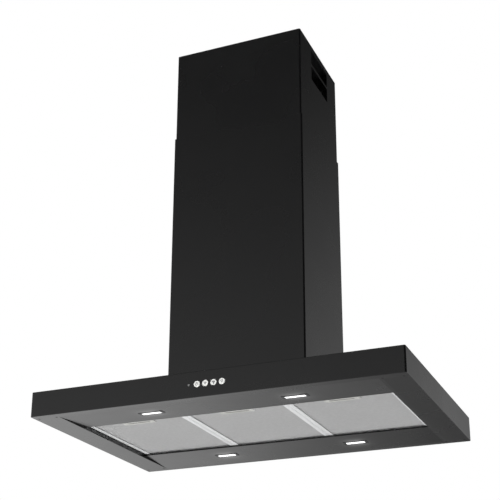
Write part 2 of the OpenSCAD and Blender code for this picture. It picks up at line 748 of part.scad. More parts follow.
module motor() color(zinc) blower_axis() difference() {
    union() {
        across(motor_back, motor_back + 8) circle(motor_r - 6);
        across(motor_back + 8 - eps, motor_front - 8) circle(motor_r);
        across(motor_front - 8 - eps, motor_front) circle(motor_r - 5);
        across(motor_front - eps, motor_front + 3) circle(shaft_r + 6);
    }
    across(motor_back + 11, 0) circle(shaft_r + shaft_gap);
}

module motor_spider() color(zinc) blower_axis() difference() {
    across(motor_back - spider_t, motor_back) {
        circle(motor_r - 4);
        for (a = [30, 150, 270]) rotate(a) {
            translate([0, -6]) square([spider_r, 12]);
            translate([spider_r, 0]) circle(6);
        }
    }
    across(motor_back - spider_t - 1, motor_back + 1) {
        circle(motor_r - 16);
        for (a = [30, 150, 270]) rotate(a) translate([spider_r, 0]) circle(1.7);
    }
}

module collar_place() from_base() translate([0, collar_y, plenum_top]) children();

module outlet_collar() color(zinc) collar_place() difference() {
    union() {
        block(collar_flange, collar_flange, collar_t);
        cylinder(h = collar_h, r = collar_r, $fn = 96);
    }
    // the ledge that the closed flaps lie over is left between two wide bores
    translate([0, 0, flap_seat]) cylinder(h = collar_h, r = collar_r - collar_t, $fn = 96);
    translate([0, 0, -1]) cylinder(h = collar_h + 2, r = flap_r - 3, $fn = 96);
    translate([0, 0, -1]) cylinder(h = flap_seat - 1, r = collar_r - collar_t, $fn = 96);
    translate([0, 0, flap_level - plenum_top]) rotate([0, 90, 0])
        cylinder(h = 2 * collar_r + 10, r = pin_r + eps, center = true);
}

module flap_pin() color(zinc) from_base() translate([0, collar_y, flap_level]) rotate([0, 90, 0])
    cylinder(h = 2 * collar_r - 0.6, r = pin_r, center = true);

// Half-round plate with two knuckles on the pin; the other flap has the gaps between
module flap(side) from_base() translate([0, collar_y, flap_level]) mirror([0, side, 0])
    mirror([side, 0, 0]) difference() {
        union() {
            translate([0, 0, -flap_t / 2]) linear_extrude(flap_t) intersection() {
                circle(flap_r);
                translate([-flap_r, knuckle_r + 1]) square([2 * flap_r, flap_r]);
            }
            for (x = [-2, 0]) translate([(x + 0.5) * (knuckle_len + 1), 0, 0]) {
                rotate([0, 90, 0]) cylinder(h = knuckle_len, r = knuckle_r, center = true);
                translate([-knuckle_len / 2, 0, -flap_t / 2]) cube([knuckle_len, knuckle_r + 2, flap_t]);
            }
        }
        rotate([0, 90, 0]) cylinder(h = 3 * flap_r, r = pin_r + eps, center = true);
    }

module front_flap() color(dark_plastic) flap(1);
module rear_flap() color(dark_plastic) flap(0);

// ---------- electronics, on the plenum box's left side ----------

module electronics_box() color(grey_plastic) from_base() difference() {
    translate([-plenum_w / 2 - ebox_t, -ebox_l / 2, ebox_level]) cube([ebox_t, ebox_l, ebox_h]);
    translate([-plenum_w / 2 - ebox_t - 1, -ebox_l / 2 + ebox_wall, ebox_level + ebox_wall])
        cube([ebox_t + 1 - ebox_wall, ebox_l - 2 * ebox_wall, ebox_h - 2 * ebox_wall]);
    gland_place() cylinder(h = 20, r = gland_r + 2.5, center = true);
}

module electronics_lid() color(grey_plastic) from_base()
    translate([-plenum_w / 2 - ebox_t - ebox_wall, -ebox_l / 2, ebox_level])
        cube([ebox_wall, ebox_l, ebox_h]);

module gland_place() translate([gland_x, gland_y, ebox_level + ebox_h]) children();

module cable_gland() color(dark_plastic) from_base() gland_place() difference() {
    union() {
        cylinder(h = 5, r = gland_r + 6, $fn = 6);
        translate([0, 0, -ebox_wall - 5]) cylinder(h = gland_len, r = gland_r + 2.4);
        translate([0, 0, -ebox_wall - 5]) cylinder(h = 5, r = gland_r + 6, $fn = 6);
        translate([0, 0, 5]) cylinder(h = 9, r = gland_r + 4.5);
    }
    translate([0, 0, -20]) cylinder(h = 60, r = gland_r);
}

module run_capacitor() color(white) from_base()
    translate([plenum_w / 2 + capacitor_r + 1, 0, ebox_level]) {
        cylinder(h = capacitor_l, r = capacitor_r);
        translate([-capacitor_r - 1, -6, 20]) cube([10, 12, 8]);
        translate([0, 0, capacitor_l - eps]) cylinder(h = 6, r = capacitor_r / 2);
    }

// ---------- assembly ----------

ceiling_bracket();
upper_frame();
upper_cover();
bracket_bolts();
height_lock_bolts();
upper_cover_screws();
lower_frame();
frame_foot_bolts();
lower_cover();
canopy_shell();
mounting_plate();
front_light_panel();
rear_light_panel();
flange_screws();
lamp_housing(-1, 1);  // lamp_housing_front_left
lamp_housing(1, 1);  // lamp_housing_front_right
lamp_housing(-1, 0);  // lamp_housing_rear_left
lamp_housing(1, 0);  // lamp_housing_rear_right
lamp_lens(-1, 1);  // lamp_lens_front_left
lamp_lens(1, 1);  // lamp_lens_front_right
lamp_lens(-1, 0);  // lamp_lens_rear_left
lamp_lens(1, 0);  // lamp_lens_rear_right
lamp_driver();
filter_frame(0);  // filter_frame_left
filter_frame(1);  // filter_frame_middle
filter_frame(2);  // filter_frame_right
filter_mesh(0);  // filter_mesh_left
filter_mesh(1);  // filter_mesh_middle
filter_mesh(2);  // filter_mesh_right
filter_latch(0);  // filter_latch_left
filter_latch(1);  // filter_latch_middle
filter_latch(2);  // filter_latch_right
push_button(0);  // power_button
push_button(1);  // low_speed_button
push_button(2);  // high_speed_button
push_button(3);  // light_button
indicator_light();
button_holder();
control_board();
plenum_box();
scroll_half(0);  // scroll_left_half
scroll_half(1);  // scroll_right_half
scroll_screws();
impeller();
impeller_blades(1);  // impeller_left_blades
impeller_blades(0);  // impeller_right_blades
motor();
motor_shaft();
motor_spider();
outlet_collar();
flap_pin();
front_flap();
rear_flap();
electronics_box();
electronics_lid();
cable_gland();
run_capacitor();
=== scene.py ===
# Island range hood in satin black: canopy, telescopic chimney, grease filters,
# lamps and push buttons, hung from the ceiling in a plain white studio.
import json
import math

import bmesh
import bpy
from mathutils import Euler, Matrix, Vector


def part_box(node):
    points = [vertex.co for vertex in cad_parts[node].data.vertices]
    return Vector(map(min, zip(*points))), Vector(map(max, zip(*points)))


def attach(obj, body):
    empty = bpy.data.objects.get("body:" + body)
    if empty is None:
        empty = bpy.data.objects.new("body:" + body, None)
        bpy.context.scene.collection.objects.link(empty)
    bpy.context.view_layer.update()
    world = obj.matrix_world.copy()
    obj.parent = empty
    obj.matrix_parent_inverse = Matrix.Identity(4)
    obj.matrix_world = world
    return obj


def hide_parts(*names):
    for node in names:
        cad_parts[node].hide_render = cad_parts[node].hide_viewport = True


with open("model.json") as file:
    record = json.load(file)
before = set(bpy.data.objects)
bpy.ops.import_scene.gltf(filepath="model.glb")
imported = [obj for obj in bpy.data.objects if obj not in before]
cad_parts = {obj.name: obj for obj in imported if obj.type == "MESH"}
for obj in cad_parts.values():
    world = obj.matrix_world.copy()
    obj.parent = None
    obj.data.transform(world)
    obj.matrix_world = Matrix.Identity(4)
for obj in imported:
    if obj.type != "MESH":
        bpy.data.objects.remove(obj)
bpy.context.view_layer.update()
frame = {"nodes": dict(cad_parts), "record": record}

nodes = frame["nodes"]

# ---- Studio ----
# A plain pale floor well below the hanging hood, a white surround that is
# brightest near the horizon, and broad soft lamps. The camera looks up at it.
camera_place = Vector((1.01368, -2.47889, -1.73240))
camera_azimuth = math.radians(-22.678)
camera_elevation = math.radians(21.015)
camera_roll = math.radians(0.16)
floor_level = -2.6
floor_width = 24

camera_data = bpy.data.cameras.new("camera")
camera_data.lens = 82.758
camera_data.sensor_width = 36
camera_data.shift_y = 0.125
camera_data.clip_end = 60
camera = bpy.data.objects.new("camera", camera_data)
bpy.context.scene.collection.objects.link(camera)
turn = Euler((math.pi / 2 + camera_elevation, 0, -camera_azimuth)).to_matrix()
roll = Matrix.Rotation(camera_roll, 3, "Z")
camera.matrix_world = Matrix.Translation(camera_place) @ (turn @ roll).to_4x4()
bpy.context.scene.camera = camera
bpy.context.scene.view_settings.view_transform = "Standard"


def node_of(tree, kind, **values):
    """A shader node with its settings and unlinked inputs filled in."""
    made = tree.nodes.new(kind)
    for key, value in values.items():
        if hasattr(made, key):
            setattr(made, key, value)
        else:
            made.inputs[key.replace("_", " ")].default_value = value
    return made


def ramp_of(tree, *stops):
    """A colour ramp with the given (position, grey value) stops."""
    made = tree.nodes.new("ShaderNodeValToRGB")
    while len(made.color_ramp.elements) < len(stops):
        made.color_ramp.elements.new(0.5)
    for element, (place, grey) in zip(made.color_ramp.elements, stops):
        element.position = place
        element.color = (grey, grey, grey, 1)
    return made


def math_of(tree, operation, first, second=None):
    """A math node on a socket, and on a second socket or number where it takes two."""
    made = node_of(tree, "ShaderNodeMath", operation=operation)
    tree.links.new(first, made.inputs[0])
    if isinstance(second, (int, float)):
        made.inputs[1].default_value = second
    elif second:
        tree.links.new(second, made.inputs[1])
    return made.outputs[0]


def seen_by(tree, *rays):
    """1 where the ray is one of the named kinds, from one Light Path node."""
    path = tree.nodes.new("ShaderNodeLightPath")
    total = path.outputs[rays[0]]
    for ray in rays[1:]:
        total = math_of(tree, "MAXIMUM", total, path.outputs[ray])
    return total


world = bpy.data.worlds.new("studio")
world.use_nodes = True
bpy.context.scene.world = world
sky = world.node_tree
sky.nodes.clear()
direction = node_of(sky, "ShaderNodeTexCoord")
height = node_of(sky, "ShaderNodeSeparateXYZ")
sky.links.new(direction.outputs["Generated"], height.inputs[0])
fade = ramp_of(sky, (0.0, 1.0), (0.20, 0.88), (0.30, 0.64), (0.43, 0.30), (0.50, 0.14),
               (0.56, 0.06), (0.8, 0.02))
sky.links.new(height.outputs["Z"], fade.inputs[0])


def toward(tree, vector, side):
    """How far a vector points to that side, from 0 opposite it to 1 along it."""
    facing = node_of(tree, "ShaderNodeVectorMath", operation="DOT_PRODUCT")
    tree.links.new(vector, facing.inputs[0])
    facing.inputs[1].default_value = side
    half_turn = node_of(tree, "ShaderNodeMapRange", From_Min=-1.0)
    tree.links.new(facing.outputs["Value"], half_turn.inputs[0])
    return half_turn.outputs[0]


def multiply_colours(tree, first, second):
    """The product of two colour sockets."""
    made = node_of(tree, "ShaderNodeMix", data_type="RGBA", blend_type="MULTIPLY", Factor=1.0)
    tree.links.new(first, made.inputs["A"])
    tree.links.new(second, made.inputs["B"])
    return made.outputs["Result"]


def choose_shader(tree, factor, first, second):
    """The first shader where the factor is 0 and the second where it is 1."""
    made = node_of(tree, "ShaderNodeMixShader")
    for index, socket in enumerate((factor, first, second)):
        tree.links.new(socket, made.inputs[index])
    return made.outputs[0]


# the fronts mirror one softbox and the right-hand sides a weaker one, with a dark gap between
front_side = (-0.407, -0.914, 0)
right_side = (0.914, -0.407, 0)
surround = fade.outputs[0]
for side, stops in ((front_side, [(0.12, 0.53), (0.88, 1.0)]),
                    (right_side, [(0.60, 1.0), (0.68, 0.10)])):
    softbox = ramp_of(sky, *stops)
    sky.links.new(toward(sky, direction.outputs["Generated"], side), softbox.inputs[0])
    surround = multiply_colours(sky, surround, softbox.outputs[0])
mirrored = node_of(sky, "ShaderNodeBackground", Strength=1.13)
sky.links.new(surround, mirrored.inputs["Color"])
ambient = node_of(sky, "ShaderNodeBackground", Color=(1, 1, 1, 1), Strength=0.22)
backdrop = node_of(sky, "ShaderNodeBackground", Color=(1, 1, 1, 1), Strength=1.0)
by_gloss = choose_shader(sky, seen_by(sky, "Is Glossy Ray", "Is Transmission Ray"),
                         ambient.outputs[0], mirrored.outputs[0])
by_camera = choose_shader(sky, seen_by(sky, "Is Camera Ray"), by_gloss, backdrop.outputs[0])
air = node_of(sky, "ShaderNodeOutputWorld")
sky.links.new(by_camera, air.inputs[0])

bpy.ops.mesh.primitive_plane_add(size=floor_width, location=(0, 0, floor_level))
floor = bpy.context.object
floor.name = "studio_floor"
floor_paint = bpy.data.materials.new("pale floor")
floor_paint.use_nodes = True
tree = floor_paint.node_tree
tree.nodes.clear()
matt = node_of(tree, "ShaderNodeBsdfDiffuse", Color=(0.86, 0.86, 0.86, 1))
lit = node_of(tree, "ShaderNodeEmission", Strength=1.0)
place = node_of(tree, "ShaderNodeTexCoord")
level = node_of(tree, "ShaderNodeVectorMath", operation="NORMALIZE")
tree.links.new(place.outputs["Object"], level.inputs[0])
# what the undersides mirror of the floor: bright on its left, dark on the right, dimmer far out
left_side = (-0.985, -0.174, 0)
spread = ramp_of(tree, (0.0, 0.85), (0.22, 0.55), (0.40, 0.08), (0.47, 0.09), (0.50, 0.216),
                 (0.53, 0.234), (0.57, 0.345), (0.61, 0.485), (0.65, 0.70), (0.70, 0.845), (0.73, 1.0))
tree.links.new(toward(tree, level.outputs[0], left_side), spread.inputs[0])
far = node_of(tree, "ShaderNodeVectorMath", operation="LENGTH")
tree.links.new(place.outputs["Object"], far.inputs[0])
nearer = node_of(tree, "ShaderNodeMapRange", From_Min=4.0, From_Max=9.0, To_Min=1.56, To_Max=0.68)
tree.links.new(far.outputs["Value"], nearer.inputs[0])
tree.links.new(multiply_colours(tree, spread.outputs[0], nearer.outputs[0]), lit.inputs["Color"])
mixed = choose_shader(tree, seen_by(tree, "Is Glossy Ray", "Is Transmission Ray"),
                      matt.outputs[0], lit.outputs[0])
# past the hood's soft shadow the floor runs out into the white surround
beyond = node_of(tree, "ShaderNodeMapRange", interpolation_type="SMOOTHSTEP", From_Min=0.6, From_Max=2.6)
tree.links.new(far.outputs["Value"], beyond.inputs[0])
whitened = math_of(tree, "MULTIPLY", beyond.outputs[0], seen_by(tree, "Is Camera Ray"))
white = node_of(tree, "ShaderNodeEmission", Color=(1, 1, 1, 1), Strength=1.0)
ending = choose_shader(tree, whitened, mixed, white.outputs[0])
top = node_of(tree, "ShaderNodeOutputMaterial")
tree.links.new(ending, top.inputs[0])
floor.data.materials.append(floor_paint)


def soft_lamp(name, place, aim, width, power):
    """A square soft lamp that lights the hood and floor and isn't mirrored in them."""
    data = bpy.data.lights.new(name, "AREA")
    data.size = width
    data.energy = power
    lamp = bpy.data.objects.new(name, data)
    bpy.context.scene.collection.objects.link(lamp)
    lamp.location = place
    lamp.rotation_euler = (Vector(aim) - Vector(place)).to_track_quat("-Z", "Y").to_euler()
    lamp.visible_glossy = False
    lamp.visible_camera = False


soft_lamp("key_lamp", (-3.2, -3.6, 1.2), (0, 0, -0.8), 2.4, 7)
soft_lamp("fill_lamp", (3.4, -1.0, 0.2), (0, 0, -0.8), 2.0, 5)
soft_lamp("floor_lamp", (0.0, -0.5, 2.2), (0, -0.3, -2.6), 3.0, 465)


# ---- Black powder coat ----
# The canopy, the light panels and both chimney covers are folded sheet steel
# with a satin black powder coat: a faint orange peel and slow changes of gloss.
def effect(name, values, results):
    """An empty shader group with named value inputs and value outputs."""
    made = bpy.data.node_groups.new(name, "ShaderNodeTree")
    for label, value in values.items():
        socket = made.interface.new_socket(label, in_out="INPUT", socket_type="NodeSocketFloat")
        socket.default_value = value
    for label in results:
        made.interface.new_socket(label, in_out="OUTPUT", socket_type="NodeSocketFloat")
    return made, made.nodes.new("NodeGroupInput"), made.nodes.new("NodeGroupOutput")


peel, peel_in, peel_out = effect("orange peel", {"Grain Scale": 900, "Cloud Scale": 6}, ["Grain", "Cloud"])
here = node_of(peel, "ShaderNodeTexCoord")
for label, detail in (("Grain", 1.0), ("Cloud", 3.0)):
    noise = node_of(peel, "ShaderNodeTexNoise", Detail=detail, Roughness=0.5)
    peel.links.new(here.outputs["Object"], noise.inputs["Vector"])
    peel.links.new(peel_in.outputs[label + " Scale"], noise.inputs["Scale"])
    peel.links.new(noise.outputs["Fac"], peel_out.inputs[label])

dust, dust_in, dust_out = effect("settled dust", {"Scale": 60}, ["Mask"])
here = node_of(dust, "ShaderNodeTexCoord")
upward = node_of(dust, "ShaderNodeSeparateXYZ")
dust.links.new(here.outputs["Normal"], upward.inputs[0])
speck = node_of(dust, "ShaderNodeTexNoise", Detail=6.0, Roughness=0.7)
dust.links.new(here.outputs["Object"], speck.inputs["Vector"])
dust.links.new(dust_in.outputs["Scale"], speck.inputs["Scale"])
thin = node_of(dust, "ShaderNodeMapRange", From_Min=0.42, From_Max=0.75)
dust.links.new(speck.outputs["Fac"], thin.inputs[0])
lying = node_of(dust, "ShaderNodeMath", operation="MULTIPLY", use_clamp=True)
dust.links.new(upward.outputs["Z"], lying.inputs[0])
dust.links.new(thin.outputs[0], lying.inputs[1])
dust.links.new(lying.outputs[0], dust_out.inputs["Mask"])


def new_material(name, **sockets):
    """A material with its Principled shader's plain sockets set; returns it with its tree and shader."""
    made = bpy.data.materials.new(name)
    made.use_nodes = True
    shader = made.node_tree.nodes["Principled BSDF"]
    for label, value in sockets.items():
        shader.inputs[label.replace("_", " ")].default_value = value
    return made, made.node_tree, shader


def place_group(tree, group, **values):
    """The shared effect as a node of this tree, with its own values."""
    made = tree.nodes.new("ShaderNodeGroup")
    made.node_tree = group
    for label, value in values.items():
        made.inputs[label.replace("_", " ")].default_value = value
    return made


def between(tree, factor, low, high):
    """A value that runs from low to high as the factor runs from 0 to 1."""
    made = node_of(tree, "ShaderNodeMapRange", To_Min=low, To_Max=high)
    tree.links.new(factor, made.inputs[0])
    return made.outputs[0]


def blend_colours(tree, factor, first, second):
    """Goes from the first colour to the second; either may be a socket."""
    made = node_of(tree, "ShaderNodeMix", data_type="RGBA")
    tree.links.new(factor, made.inputs["Factor"])
    for socket, colour in (("A", first), ("B", second)):
        if isinstance(colour, tuple):
            made.inputs[socket].default_value = (*colour, 1)
        else:
            tree.links.new(colour, made.inputs[socket])
    return made.outputs["Result"]


def raise_surface(tree, shader, bump_height, distance):
    """A bump of that many metres on the shader's normal."""
    bump = node_of(tree, "ShaderNodeBump", Strength=1.0, Distance=distance)
    tree.links.new(bump_height, bump.inputs["Height"])
    tree.links.new(bump.outputs[0], shader.inputs["Normal"])


def powder_coat(name):
    """Satin black powder coat."""
    made, tree, shader = new_material(name, IOR=1.5)
    coat = place_group(tree, peel, Grain_Scale=700, Cloud_Scale=5)
    fluff = place_group(tree, dust, Scale=420)
    black = blend_colours(tree, coat.outputs["Cloud"], (0.0016, 0.0016, 0.0017), (0.0030, 0.0030, 0.0031))
    dusted = between(tree, fluff.outputs["Mask"], 0.0, 0.10)
    colour = blend_colours(tree, dusted, black, (0.12, 0.118, 0.112))
    tree.links.new(colour, shader.inputs["Base Color"])
    tree.links.new(between(tree, coat.outputs["Cloud"], 0.22, 0.34), shader.inputs["Roughness"])
    raise_surface(tree, shader, coat.outputs["Grain"], 0.00002)
    return made, tree, shader


black_coat = powder_coat("satin black powder coat")[0]


def dress(material, *names):
    """Gives CAD nodes their finish."""
    for name in names:
        for part in nodes[name].material_slots:
            part.material = material
        if not nodes[name].material_slots:
            nodes[name].data.materials.append(material)


def pick_only(*pieces):
    """Selects these pieces and nothing else, the first one active."""
    bpy.ops.object.select_all(action="DESELECT")
    for piece in pieces:
        piece.select_set(True)
    bpy.context.view_layer.objects.active = pieces[0]


def body_of(node):
    """The body that carries a CAD node."""
    bodies = frame["record"]["behaviour"]["bodies"]
    return next(body for body, carried in bodies.items() if node in carried)


def slot_of(node):
    """The record's finish for a CAD node."""
    return next(part["material_slot"] for part in frame["record"]["subparts"] if part["node"] == node)


def finish_piece(piece, material, body, slot, *replaced):
    """Gives a piece its material, the body it rides on and the CAD nodes that it stands for."""
    piece.data.materials.clear()
    piece.data.materials.append(material)
    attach(piece, body)
    if replaced:
        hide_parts(*replaced)


def apply_modifier(piece, kind, **settings):
    """Adds a modifier with these settings and applies it."""
    made = piece.modifiers.new(kind.lower(), kind)
    for key, value in settings.items():
        setattr(made, key, value)
    pick_only(piece)
    bpy.ops.object.modifier_apply(modifier=made.name)


def select_edges(piece, test):
    """Goes into edit mode and selects only the edges that pass the test."""
    bpy.ops.object.mode_set(mode="EDIT")
    bpy.ops.mesh.select_mode(type="EDGE")
    bpy.ops.mesh.select_all(action="DESELECT")
    mesh = bmesh.from_edit_mesh(piece.data)
    for edge in mesh.edges:
        if test(edge):
            edge.select = True
    bmesh.update_edit_mesh(piece.data)


fold_angle = 0.7
smooth_angle = 0.6


def folded_copy(node, material, radius=0.0, segments=1, bent=None):
    """A smooth copy of the CAD piece; its sharp edges that pass the test bent get this radius."""
    piece = nodes[node].copy()
    piece.data = nodes[node].data.copy()
    piece.name = node + "_folded"
    bpy.context.scene.collection.objects.link(piece)
    pick_only(piece)
    bpy.ops.object.mode_set(mode="EDIT")
    bpy.ops.mesh.select_all(action="SELECT")
    bpy.ops.mesh.remove_doubles(threshold=0.00001)
    bpy.ops.mesh.dissolve_limited(angle_limit=0.01)
    if bent:
        select_edges(piece, lambda edge: (
            edge.is_manifold and edge.calc_face_angle(0) > fold_angle and bent(edge)))
        bpy.ops.mesh.bevel(offset=radius, segments=segments, profile=0.5, clamp_overlap=True)
    bpy.ops.object.mode_set(mode="OBJECT")
    bpy.ops.object.shade_smooth_by_angle(angle=smooth_angle)
    apply_modifier(piece, "WEIGHTED_NORMAL", weight=100, keep_sharp=True)
    finish_piece(piece, material, body_of(node), slot_of(node), node)
    return piece


touching = 0.0001
canopy_corner = 0.0045
canopy_low, canopy_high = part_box("canopy_shell")


def on_canopy_rim(edge):
    """The outer edges round the canopy's top and underside."""
    low, high = canopy_low, canopy_high
    return all(
        min(end.co.x - low.x, high.x - end.co.x, end.co.y - low.y, high.y - end.co.y) < canopy_corner
        and min(end.co.z - low.z, high.z - end.co.z) < touching
        for end in edge.verts)


folded_copy("canopy_shell", black_coat, radius=0.0011, segments=3, bent=on_canopy_rim)

# ---- Chimney covers ----
# Two folded steel covers, the upper one telescoping inside the lower one, coated
# outside and thinly oversprayed grey inside, as the vents show. The ceiling
# bracket and the sliding frames that the covers hide are primed black.
cover_skin = 0.0009


def vary_finish(tree, shader, tone, dark, light, gloss, smooth, rough):
    """The colour follows one value of a shared effect and the roughness follows another."""
    tree.links.new(blend_colours(tree, tone, dark, light), shader.inputs["Base Color"])
    tree.links.new(between(tree, gloss, smooth, rough), shader.inputs["Roughness"])


overspray, tree, shader = new_material("grey overspray", IOR=1.5)
mist = place_group(tree, peel, Grain_Scale=900, Cloud_Scale=18)
vary_finish(tree, shader, mist.outputs["Cloud"], (0.09, 0.09, 0.09), (0.15, 0.15, 0.15),
            mist.outputs["Grain"], 0.55, 0.75)

primer, tree, shader = new_material("black primer", Specular_IOR_Level=0.15)
mist = place_group(tree, peel, Grain_Scale=900, Cloud_Scale=25)
vary_finish(tree, shader, mist.outputs["Cloud"], (0.008, 0.008, 0.008), (0.014, 0.014, 0.014),
            mist.outputs["Grain"], 0.45, 0.65)
dress(primer, "ceiling_bracket", "upper_frame", "lower_frame")


def on_cover_end(edge):
    """The edges round a chimney cover's open ends."""
    return all(min(end.co.z - low.z, high.z - end.co.z) < touching for end in edge.verts)


for node in ("upper_cover", "lower_cover"):
    low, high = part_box(node)
    cover = folded_copy(node, black_coat, radius=0.0003, segments=2, bent=on_cover_end)
    cover.data.materials.append(overspray)
    for face in cover.data.polygons:
        middle = face.center
        inward = middle.x * face.normal.x + middle.y * face.normal.y < 0
        if inward and abs(middle.x) < high.x - cover_skin and abs(middle.y) < high.y - cover_skin:
            face.material_index = 1

# ---- Light panels ----
# Folded black panels slope up from the canopy's front and back edges to the
# filters. The soft glow round each lamp's bezel is painted light: an emission in the panels' paint.
bezel_low, bezel_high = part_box("lamp_housing_rear_right")
lamp_x = (bezel_low.x + bezel_high.x) / 2
lamp_y = (bezel_low.y + bezel_high.y) / 2
bezel_w = bezel_high.x - bezel_low.x
bezel_d = bezel_high.y - bezel_low.y
painted_glow_reach = 0.010
painted_glow_level = 0.20
painted_glow_width = 0.3 * bezel_w

# painted light: the panel paint itself emits a glow that fades out from each lamp's bezel
panel_coat_with_painted_glow, tree, shader = powder_coat("black powder coat with painted lamp glow")
place = node_of(tree, "ShaderNodeTexCoord")
axes = node_of(tree, "ShaderNodeSeparateXYZ")
tree.links.new(place.outputs["Object"], axes.inputs[0])
squares = []
for axis, middle, size in (("X", lamp_x, painted_glow_width), ("Y", lamp_y, bezel_d)):
    aside = math_of(tree, "ABSOLUTE", axes.outputs[axis])
    offset = math_of(tree, "ABSOLUTE", math_of(tree, "SUBTRACT", aside, middle))
    outside = math_of(tree, "MAXIMUM", math_of(tree, "SUBTRACT", offset, size / 2), 0.0)
    squares.append(math_of(tree, "POWER", outside, 2.0))
distance = math_of(tree, "SQRT", math_of(tree, "ADD", *squares))
painted_glow_falloff = math_of(tree, "EXPONENT", math_of(tree, "MULTIPLY", distance, -1 / painted_glow_reach))
painted_glow = math_of(tree, "MULTIPLY", painted_glow_falloff, painted_glow_level)
# the painted glow goes into the paint's emission, so the lamps do not cast it
tree.links.new(painted_glow, shader.inputs["Emission Color"])
shader.inputs["Emission Strength"].default_value = 1.0
dress(panel_coat_with_painted_glow, "front_light_panel", "rear_light_panel")

# ---- Zinc-plated steel ----
# The mounting plate, the plenum box, the outlet collar, the motor's spider and
# the fasteners are zinc-plated: bright grey with a cloudy spangle and rolling lines.
brushed, brushed_in, brushed_out = effect(
    "rolling lines", {"Along X": 1, "Along Y": 1, "Along Z": 1, "Scale": 400}, ["Lines"])
here = node_of(brushed, "ShaderNodeTexCoord")
stretch = node_of(brushed, "ShaderNodeCombineXYZ")
for index, label in enumerate(("Along X", "Along Y", "Along Z")):
    brushed.links.new(brushed_in.outputs[label], stretch.inputs[index])
scaled = node_of(brushed, "ShaderNodeVectorMath", operation="MULTIPLY")
brushed.links.new(here.outputs["Object"], scaled.inputs[0])
brushed.links.new(stretch.outputs[0], scaled.inputs[1])
noise = node_of(brushed, "ShaderNodeTexNoise", Detail=4.0, Roughness=0.6)
brushed.links.new(scaled.outputs[0], noise.inputs["Vector"])
brushed.links.new(brushed_in.outputs["Scale"], noise.inputs["Scale"])
brushed.links.new(noise.outputs["Fac"], brushed_out.inputs["Lines"])


def zinc_plate(name, spangle_scale, roughness):
    """Zinc-plated steel with a cloudy spangle."""
    made, tree, shader = new_material(name, Metallic=1.0)
    place = node_of(tree, "ShaderNodeTexCoord")
    spangle = node_of(tree, "ShaderNodeTexVoronoi", Scale=spangle_scale, Randomness=1.0)
    tree.links.new(place.outputs["Object"], spangle.inputs["Vector"])
    grey = node_of(tree, "ShaderNodeRGBToBW")
    tree.links.new(spangle.outputs["Color"], grey.inputs[0])
    lines = place_group(tree, brushed, Along_X=1, Along_Y=1, Along_Z=0.05, Scale=500)
    vary_finish(tree, shader, grey.outputs[0], (0.50, 0.51, 0.53), (0.66, 0.67, 0.68),
                lines.outputs["Lines"], roughness - 0.06, roughness + 0.08)
    raise_surface(tree, shader, lines.outputs["Lines"], 0.00001)
    return made


zinc_sheet = zinc_plate("zinc-plated sheet", 130, 0.34)
zinc_fastener = zinc_plate("zinc-plated fasteners", 900, 0.28)
dress(zinc_sheet, "mounting_plate", "plenum_box", "outlet_collar", "motor_spider")
dress(zinc_fastener, "bracket_bolts", "height_lock_bolts", "frame_foot_bolts", "scroll_screws",
      "motor_shaft", "flap_pin")

# ---- Blower ----
# A grey moulded scroll in two screwed halves holds a dark moulded impeller on
# the shaft of a die-cast motor, and two dark flaps close the collar. The
# electrics' boxes, gland and holders are moulded too.
def moulded(name, colour, lighter, roughness):
    """Moulded plastic with a fine spark-eroded texture."""
    made, tree, shader = new_material(name, IOR=1.49)
    skin = place_group(tree, peel, Grain_Scale=1800, Cloud_Scale=14)
    vary_finish(tree, shader, skin.outputs["Cloud"], colour, lighter,
                skin.outputs["Grain"], roughness - 0.06, roughness + 0.06)
    raise_surface(tree, shader, skin.outputs["Grain"], 0.00003)
    return made


grey_moulding = moulded("grey moulding", (0.19, 0.20, 0.21), (0.24, 0.25, 0.26), 0.5)
dark_moulding = moulded("dark moulding", (0.012, 0.012, 0.013), (0.022, 0.022, 0.023), 0.42)
white_moulding = moulded("white moulding", (0.74, 0.74, 0.72), (0.80, 0.80, 0.78), 0.38)
dress(grey_moulding, "scroll_left_half", "scroll_right_half", "electronics_box", "electronics_lid")
dress(dark_moulding, "impeller", "impeller_left_blades", "impeller_right_blades", "front_flap",
      "rear_flap", "cable_gland", "button_holder")
dress(white_moulding, "lamp_driver", "run_capacitor")

motor_cast, tree, shader = new_material("die-cast motor shell", Metallic=1.0)
cast = place_group(tree, peel, Grain_Scale=420, Cloud_Scale=30)
vary_finish(tree, shader, cast.outputs["Cloud"], (0.38, 0.385, 0.39), (0.52, 0.525, 0.53),
            cast.outputs["Grain"], 0.45, 0.62)
raise_surface(tree, shader, cast.outputs["Grain"], 0.0002)
dress(motor_cast, "motor")

# ---- Control board ----
# A green lacquered circuit board with faint copper tracks behind the buttons.
board_lacquer, tree, shader = new_material("green board lacquer", IOR=1.5, Roughness=0.3)
place = node_of(tree, "ShaderNodeTexCoord")
tracks = node_of(tree, "ShaderNodeTexBrick", Scale=220.0, Mortar_Size=0.03)
tree.links.new(place.outputs["Object"], tracks.inputs["Vector"])
tree.links.new(blend_colours(tree, tracks.outputs["Fac"], (0.012, 0.11, 0.035), (0.05, 0.22, 0.08)),
               shader.inputs["Base Color"])
dress(board_lacquer, "control_board")

# ---- Grease filters ----
# Each filter is a folded aluminium rim round layers of expanded aluminium
# mesh, with a sprung latch plate at its front edge. They hang side by side.
mesh_pitch_x = 0.008
mesh_pitch_y = 0.004
mesh_strand = 0.0009
strand_flatness = 0.3
backing_pitch_x = 0.0148
backing_pitch_y = 0.032
sheet_thickness = 0.0004
filter_low, filter_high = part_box("filter_frame_left")
mesh_low, mesh_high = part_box("filter_mesh_left")
latch_low, latch_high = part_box("filter_latch_left")
strand_level = mesh_low.z + 0.0005
backing_level = mesh_low.z + 0.0012
cover_level = mesh_high.z - 0.0008
filter_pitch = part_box("filter_frame_middle")[0].x - filter_low.x
latch_room = latch_high.x - latch_low.x + 0.012
latch_room_back = filter_low.y + 0.0322
plate_half = (latch_high.x - latch_low.x) / 2 + 0.007

